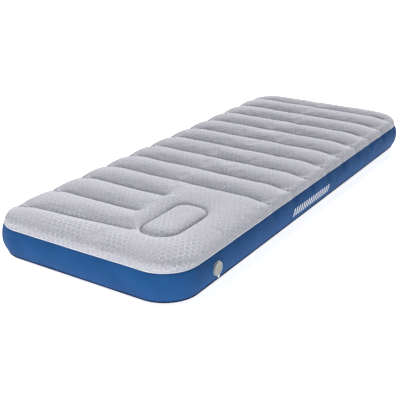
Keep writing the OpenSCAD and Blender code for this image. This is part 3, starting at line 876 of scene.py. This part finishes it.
def pad_height(x, y):
    """Height of the pad: a crowned pillow that is steep at its edge."""
    d = np.clip(pad_outline(x, y), 0, None)
    t = np.clip(d / PAD_ROLL, 0, 1)
    dome = np.sqrt(1 - (1 - t) ** 2.2)
    rise = float(PAD_HIGH[2]) - pad_edge(y) - PAD_DOME_DOWN
    crown = PAD_CROWN * (1 - ((x - PAD_C[0]) / PAD_HX) ** 2) * (1 - ((y - PAD_C[1]) / PAD_HY) ** 4)
    waves = 0.7 * MM * ripple(x, y, 0.09, 2.6) + 0.4 * MM * ripple(x, y, 0.035, 1.1)
    return pad_edge(y) + rise * dome + crown * t + waves * t


def make_pad():
    """The pad's cloth: a pillow with a skirt hanging from its rim."""
    edge_lines = [PAD_ROLL * (1 - math.cos(math.radians(a))) for a in range(0, 90, 9)]
    xs, ys = plan_lines(PAD_HX, (), edge_lines), plan_lines(PAD_HY, (), edge_lines)
    u, v = np.meshgrid(xs, ys)
    near = np.where(v < 0, PAD_R_NEAR, PAD_R_FAR)
    u, v = on_rounded(u, v, PAD_HX, PAD_HY, lambda e: np.maximum(near + e, 0))
    x, y = u + PAD_C[0], v + PAD_C[1]
    rows, cols = x.shape
    points = list(np.stack([x, y, pad_height(x, y)], axis=-1).reshape(-1, 3))
    flat = list(np.stack([x, y], axis=-1).reshape(-1, 2))
    faces = grid_faces(rows, cols)
    rim = list(range(cols)) + [i * cols + cols - 1 for i in range(1, rows)]
    rim += [(rows - 1) * cols + j for j in range(cols - 2, -1, -1)]
    rim += [i * cols for i in range(rows - 2, 0, -1)]
    for share in spaced([0.05, 1], 0.2):
        start = len(points)
        for i in rim:
            px, py, pz = points[i]
            points.append(np.array([px, py, pz + (SKIRT_Z - pz) * share]))
            flat.append(flat[i])
        ring = list(range(start, len(points)))
        before = rim if start == rows * cols else list(range(start - len(rim), start))
        for k in range(len(rim)):
            m = (k + 1) % len(rim)
            faces.append((before[m], before[k], ring[k], ring[m]))
    pad = make("pad_cover", points, faces, GREY)
    set_flat(pad, np.array(flat))
    return pad


pad = make_pad()
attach(pad, "pad")
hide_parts("pump_pad")


def lozenge(grow):
    """Points round the pad's outline, grown by grow. Each slides along its ray until it meets it."""
    a = np.linspace(0, 2 * math.pi, ROUND_COUNT, endpoint=False)
    far = np.full(ROUND_COUNT, 0.5)
    for _ in range(40):
        x, y = PAD_C[0] + far * np.cos(a), PAD_C[1] + far * np.sin(a)
        far = far + pad_outline(x, y, grow) * 0.7
    return PAD_C[0] + far * np.cos(a), PAD_C[1] + far * np.sin(a)


def tube_of(name, levels, mat):
    """A tube through rings of (grow, height); height may be a function of x and y."""
    points = []
    for grow, z in levels:
        x, y = lozenge(grow)
        points.append(np.stack([x, y, z(x, y) if callable(z) else np.full(ROUND_COUNT, z)], axis=-1))
    faces = [f[::-1] for f in grid_faces(len(levels), ROUND_COUNT, wrap=True)]
    return make(name, np.concatenate(points), faces, mat)


def rim_height(x, y):
    """Just above the top sheet's edge round the well."""
    return top_point(x, y)[2] + 0.1 * MM


# The strip hangs down to FOLD_Z and turns back up to the skirt, so that the pad can travel.
FOLD_Z = 90 * MM
HANG_Z, STRIP_STEP = 153 * MM, 5 * MM
FOLD_TOP, FOLD_SIDE = FOLD_Z + 3 * MM, FOLD_Z + 0.8 * MM
GUSSET_LEVELS = [(2.0 * MM, rim_height), (1.8 * MM, HANG_Z)]
GUSSET_LEVELS += [(1.9 * MM, z) for z in spaced([FOLD_TOP, 149 * MM], STRIP_STEP)[::-1]]
GUSSET_LEVELS += [(1.7 * MM, FOLD_SIDE), (1.3 * MM, FOLD_Z), (0.9 * MM, FOLD_SIDE)]
GUSSET_LEVELS += [(0.7 * MM, z) for z in spaced([FOLD_TOP, SKIRT_Z - 1 * MM], STRIP_STEP)]
GUSSET_LEVELS += [(0.1 * MM, SKIRT_Z)]
gusset = tube_of("pump_bellows", GUSSET_LEVELS, GREY)
set_flat(gusset, np.array([(PAD_HY * math.atan2(v.co.y - PAD_C[1], v.co.x - PAD_C[0]), v.co.z)
                           for v in gusset.data.vertices]))
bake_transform(gusset)
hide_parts("pump_gusset")

FOAM_TOP, FOAM_BOTTOM = float(span("pump_foam")[1][2]), 1.3 * MM
FOAM_LEVELS = [(-60 * MM, FOAM_BOTTOM), (-9 * MM, FOAM_BOTTOM), (-8 * MM, 6 * MM), (-8 * MM, 140 * MM),
               (-11 * MM, 148 * MM), (-22 * MM, 160 * MM), (-40 * MM, FOAM_TOP - 3 * MM),
               (-60 * MM, FOAM_TOP - 2 * MM)]
foam = tube_of("pump_foam_block", FOAM_LEVELS, FOAM)
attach(foam, "mattress")
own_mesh(foam)
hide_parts("pump_foam")

# ---------- valve ----------

TURNED_COUNT = 96
LIP_LIFT = (0.05, 0.55, 0.1)  # millimetres above the band, for the first points of the recess
STRAP_NOTCH, NOTCH_TOP = math.radians(17), 7.3


def from_valve(points):
    """Valve coordinates to the bed's: z out of the bed, -x up."""
    p = np.asarray(points, float) * MM
    return np.stack([VALVE_X + p[:, 2], VALVE_Y + p[:, 1], VALVE_Z - p[:, 0]], axis=-1)


def lathe(name, section, mat, change=None):
    """A turned piece about the valve's axis, from (radius, depth) points in millimetres.

    change edits each point."""
    points = []
    for k, (r, z) in enumerate(section):
        for j in range(TURNED_COUNT):
            a = 2 * math.pi * j / TURNED_COUNT
            q = change(k, a, r, z) if change else (r, z)
            points.append((q[0] * math.cos(a), q[0] * math.sin(a), q[1]))
    faces = [f[::-1] for f in grid_faces(len(section), TURNED_COUNT, wrap=True)]
    return make(name, from_valve(points), faces, mat)


def recess_lip(k, a, r, z):
    """The recess's outer lip lies on the band, wherever the band is."""
    if k >= len(LIP_LIFT):
        return r, z
    height = VALVE_Z - r * MM * math.cos(a)
    out = float(band_bulge(height)) + SEAM_X - VALVE_X
    return r, out / MM + LIP_LIFT[k]


RECESS_SECTION = [(30.4, 0), (29.3, 0), (28.3, 0), (27.9, 0.6), (27.6, 0.1), (26.6, 0.0), (22.2, 0.0)]
recess = lathe("valve_recess", RECESS_SECTION, BLUE, change=recess_lip)
set_flat(recess, np.array([(v.co.y, 40 * MM) for v in recess.data.vertices]))
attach(recess, "mattress")


def cap_notch(k, a, r, z):
    """The rim is cut away where the strap comes in."""
    if z < 7 and abs(math.remainder(a - math.pi, 2 * math.pi)) < STRAP_NOTCH:
        return r, NOTCH_TOP
    return r, z


CAP_SECTION = [(0.01, 8.9), (6, 8.9), (9, 8.75), (9.8, 8.35), (15.5, 8.3), (16.4, 8.75), (20, 9.05),
               (22.4, 9.4), (23.8, 9.35), (24.7, 8.9), (25, 8.1), (25, 5.2), (24.6, 4.65), (23.6, 4.6),
               (23.1, 4.9), (23.1, 7.0), (22.7, 7.55), (10, 7.6), (0.01, 7.6)]
cap = lathe("cap_disc", CAP_SECTION, CAP, change=cap_notch)
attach(cap, "cap")
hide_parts("valve_cap")

STRIP_SECTION = [(-1, -0.2), (-0.94, -0.5), (0.94, -0.5), (1, -0.2), (1, 0.2), (0.94, 0.5), (-0.94, 0.5),
                 (-1, 0.2)]


def strip(name, path, half_width, thick, mat, narrow=None):
    """A flat strip along (x, z) points in the valve's plane, with rounded long edges."""
    path = np.array(path, float)
    tangent = np.gradient(path, axis=0)
    tangent /= np.linalg.norm(tangent, axis=1)[:, None]
    normal = np.stack([-tangent[:, 1], tangent[:, 0]], axis=-1) * thick
    points = []
    for i, p in enumerate(path):
        w = half_width * (narrow[i] if narrow else 1)
        points += [(p[0] + normal[i, 0] * v, w * u, p[1] + normal[i, 1] * v) for u, v in STRIP_SECTION]
    n = len(STRIP_SECTION)
    faces = grid_faces(len(path), n, wrap=True)
    faces += [tuple(range(n))[::-1], tuple(range((len(path) - 1) * n, len(path) * n))]
    return make(name, from_valve(points), faces, mat)


STRAP_PATH = [(-21.5, 6.0), (-23.5, 6.0), (-25.5, 5.95), (-27.2, 6.1), (-28.3, 6.6), (-28.6, 7.3),
              (-28.2, 7.95), (-27.0, 8.35), (-25.5, 8.4), (-24.0, 8.4), (-23.0, 8.3)]
strap = strip("cap_strap_ribbon", STRAP_PATH, 4.0, 1.1, CAP)
strap_start, strap_end = from_valve([(-28.5, 0, 6.3), (-28.5, 0, 8.1)])
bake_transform(strap)
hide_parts("cap_strap")

TAB_PATH = [(22.5, 8.3), (24.5, 8.5), (26.0, 8.9), (27.0, 8.5), (28.2, 8.95), (29.4, 8.5), (30.6, 8.95),
            (31.8, 8.5), (32.7, 8.5), (33.3, 8.45)]
TAB_NARROW = [1, 1, 1, 1, 1, 0.98, 0.92, 0.8, 0.6, 0.35]
tab = strip("cap_tab", TAB_PATH, 5.0, 1.3, TAB_WHITE, narrow=TAB_NARROW)
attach(tab, "cap")

# ---------- printed mark on the band ----------

BAR_COUNT, BAR_PITCH, BAR_WIDE = 16, 21 * MM, 8 * MM
BAR_HIGH, BAR_LEAN, BAR_PROUD = 32 * MM, 12 * MM, 0.35 * MM
ROW_Y, ROW_Z = -68 * MM, 70 * MM
BAR_LEVELS = 6


def make_marks():
    """A row of plain slanted bars that follow the band's bulge."""
    points, faces = [], []
    for i in range(BAR_COUNT):
        middle = ROW_Y + STRAIGHT_Y / 2 + (i - (BAR_COUNT - 1) / 2) * BAR_PITCH
        start = len(points)
        for k in range(BAR_LEVELS + 1):
            v = k / BAR_LEVELS - 0.5
            for side in (-0.5, 0.5):
                points.append((middle + v * BAR_LEAN + side * BAR_WIDE, ROW_Z + v * BAR_HIGH))
        for k in range(BAR_LEVELS):
            a = start + 2 * k
            faces.append((a, a + 1, a + 3, a + 2))
    flat = np.array(points)
    placed = band_point(flat[:, 0], flat[:, 1], lift=BAR_PROUD)
    return make("side_print", placed, faces, SILVER)


marks = make_marks()
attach(marks, "mattress")

# ---------- CAD nodes that stay ----------

KEPT = {
    PALE: ["valve_body", "valve_backing_ring", "valve_thread_ring", "valve_plug", "delivery_valve_seat"],
    SILICONE: ["plug_o_ring", "nozzle_seat", "intake_flap", "delivery_flap"],
    INNER: ["intake_duct", "duct_collar", "pump_chamber_wall", *BEAMS],
}
for mat, names in KEPT.items():
    for name in names:
        for each in frame["nodes"][name].material_slots:
            each.material = mat

# ---------- floor, light and camera ----------

FLOOR_HALF = 100
floor_look = Look("floor", 0.9)
floor_look.colour(floor_look.mix(floor_look.noise(2.0), (0.93, 0.93, 0.93), (0.95, 0.95, 0.95)))
floor_look.shader.inputs["Emission Color"].default_value = (1, 1, 1, 1)
floor_look.shader.inputs["Emission Strength"].default_value = 0.84
floor_corners = [(x * FLOOR_HALF, y * FLOOR_HALF, 0) for x, y in ((-1, -1), (1, -1), (1, 1), (-1, 1))]
floor = make("floor", floor_corners, [(0, 1, 2, 3)], floor_look.mat, smoothed=False)

scene = bpy.context.scene
world = bpy.data.worlds.new("studio")
world.use_nodes = True
background = world.node_tree.nodes["Background"]
background.inputs["Color"].default_value = (0.86, 0.90, 1.0, 1)
background.inputs["Strength"].default_value = 0.13
scene.world = world
scene.view_settings.view_transform = "Standard"


def area_light(name, place, target, size, power, colour):
    """A round soft light at a place, aimed at a target."""
    data = bpy.data.lights.new(name, "AREA")
    data.shape, data.size, data.energy, data.color = "DISK", size, power, colour
    light = bpy.data.objects.new(name, data)
    scene.collection.objects.link(light)
    aim = np.array(target, float) - np.array(place, float)
    aim /= np.linalg.norm(aim)
    light.location = place
    light.rotation_euler = (math.acos(-aim[2]), 0, math.atan2(aim[1], aim[0]) - math.pi / 2)


WARM, WARMER = (1, 0.99, 0.97), (1, 0.99, 0.96)
area_light("key", (-3.5, 14.3, 9.4), (0, 0, 0), 4.5, 4450, WARMER)
area_light("near", (-0.4, -2.6, 2.2), (-0.1, -0.8, 0.1), 1.2, 34, WARM)
area_light("corner", (1.6, -3.2, 0.5), (0.3, -0.9, 0.08), 1.0, 22, WARM)

camera_data = bpy.data.cameras.new("camera")
camera_data.lens, camera_data.sensor_width = 70.3, 36
camera = bpy.data.objects.new("camera", camera_data)
camera.location = (1.639, -2.805, 1.287)
camera.rotation_euler = (math.radians(67.64), 0, math.radians(32.74))
scene.collection.objects.link(camera)
scene.camera = camera
